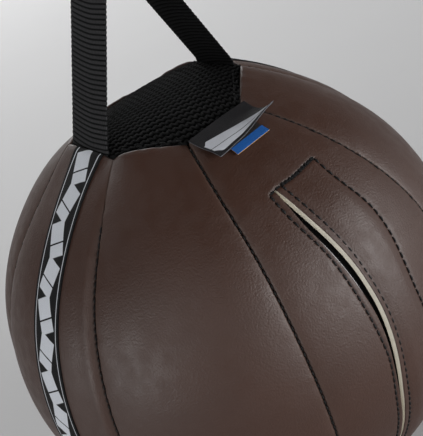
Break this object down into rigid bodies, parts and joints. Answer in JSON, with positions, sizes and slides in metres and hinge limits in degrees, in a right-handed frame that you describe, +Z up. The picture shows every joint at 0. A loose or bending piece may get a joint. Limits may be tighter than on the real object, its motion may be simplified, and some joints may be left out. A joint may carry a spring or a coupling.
{
  "type": "medicine ball",
  "caption": "Leatherette medicine ball sewn from meridian panels between octagonal webbing caps, with a webbing loop handle on top and a hook-and-loop filling port in its side.",
  "frame": {"origin": "centre of the flat face of the bottom cap, which the ball stands on", "axes": "+Z up through both caps and the handle; +X through the handle's right root and the right side tape; -Y through the filling port and the woven label"},
  "size_m": [0.2612, 0.2605, 0.325],
  "materials": {
    "leatherette": "fine-grained leatherette with a soft sheen",
    "cap_webbing": "heavy ribbed weave",
    "strap_webbing": "ribbed webbing",
    "side_tape": "flat woven tape with a pale line along each edge",
    "label_cloth": "damask weave",
    "tag_cloth": "satin ribbon",
    "hook_and_loop": "hook-and-loop tape",
    "canvas": "plain canvas",
    "liner_cloth": "plain weave",
    "thread": "bonded thread",
    "textile_wadding": "shredded textile",
    "sand": "packed sand"
  },
  "bodies": {
    "shell": {"panel_strap_left": "leatherette", "panel_front_left": "leatherette", "panel_port": "leatherette", "panel_front_right": "leatherette", "panel_strap_right": "leatherette", "panel_back_right": "leatherette", "panel_back": "leatherette", "panel_back_left": "leatherette", "seam_threads": "thread", "top_cap_thread": "thread", "bottom_cap_thread": "thread", "root_bartacks": "thread", "port_stitching": "thread", "top_cap": "cap_webbing", "bottom_cap": "cap_webbing", "top_reinforcement": "canvas", "bottom_reinforcement": "canvas", "handle_root_left": "strap_webbing", "handle_root_right": "strap_webbing", "side_tape_left": "side_tape", "side_tape_right": "side_tape", "hook_tape": "hook_and_loop", "loop_tape": "hook_and_loop", "port_underflap": "hook_and_loop", "inner_liner": "liner_cloth", "textile_filling": "textile_wadding", "core_bag": "liner_cloth", "core_sand": "sand"},
    "handle": {"handle_loop": "strap_webbing"},
    "label": {"woven_label": "label_cloth"},
    "tag": {"side_tag": "tag_cloth"},
    "lip_right": {"port_lip_right": "leatherette"},
    "lip_left": {"port_lip_left": "leatherette"}
  },
  "joints": [
    {"name": "handle_swing", "type": "hinge", "parent": "shell", "child": "handle", "pos_m": [0, 0, 0.26], "axis": [1, 0, 0], "range_deg": [-70, 70], "stiffness_Nm_per_rad": 0.08},
    {"name": "label_flip", "type": "hinge", "parent": "shell", "child": "label", "pos_m": [0, -0.0442, 0.2369], "axis": [-1, 0, 0], "range_deg": [-2, 150]},
    {"name": "tag_flip", "type": "hinge", "parent": "shell", "child": "tag", "pos_m": [0, -0.0442, 0.2369], "axis": [-1, 0, 0], "range_deg": [-2, 136]},
    {"name": "port_spread", "type": "hinge", "parent": "shell", "child": "lip_right", "pos_m": [-0.01, -0.084, 0.118], "axis": [0, 0, 1], "range_deg": [-0.85, 4]},
    {"name": "port_spread_left", "type": "hinge", "parent": "shell", "child": "lip_left", "pos_m": [-0.01, -0.084, 0.118], "axis": [0, 0, 1], "range_deg": [-4, 0.85]}
  ],
  "couplings": [
    {"joint": "tag_flip", "follows": "label_flip", "ratio": 0.9},
    {"joint": "port_spread_left", "follows": "port_spread", "ratio": -1}
  ]
}
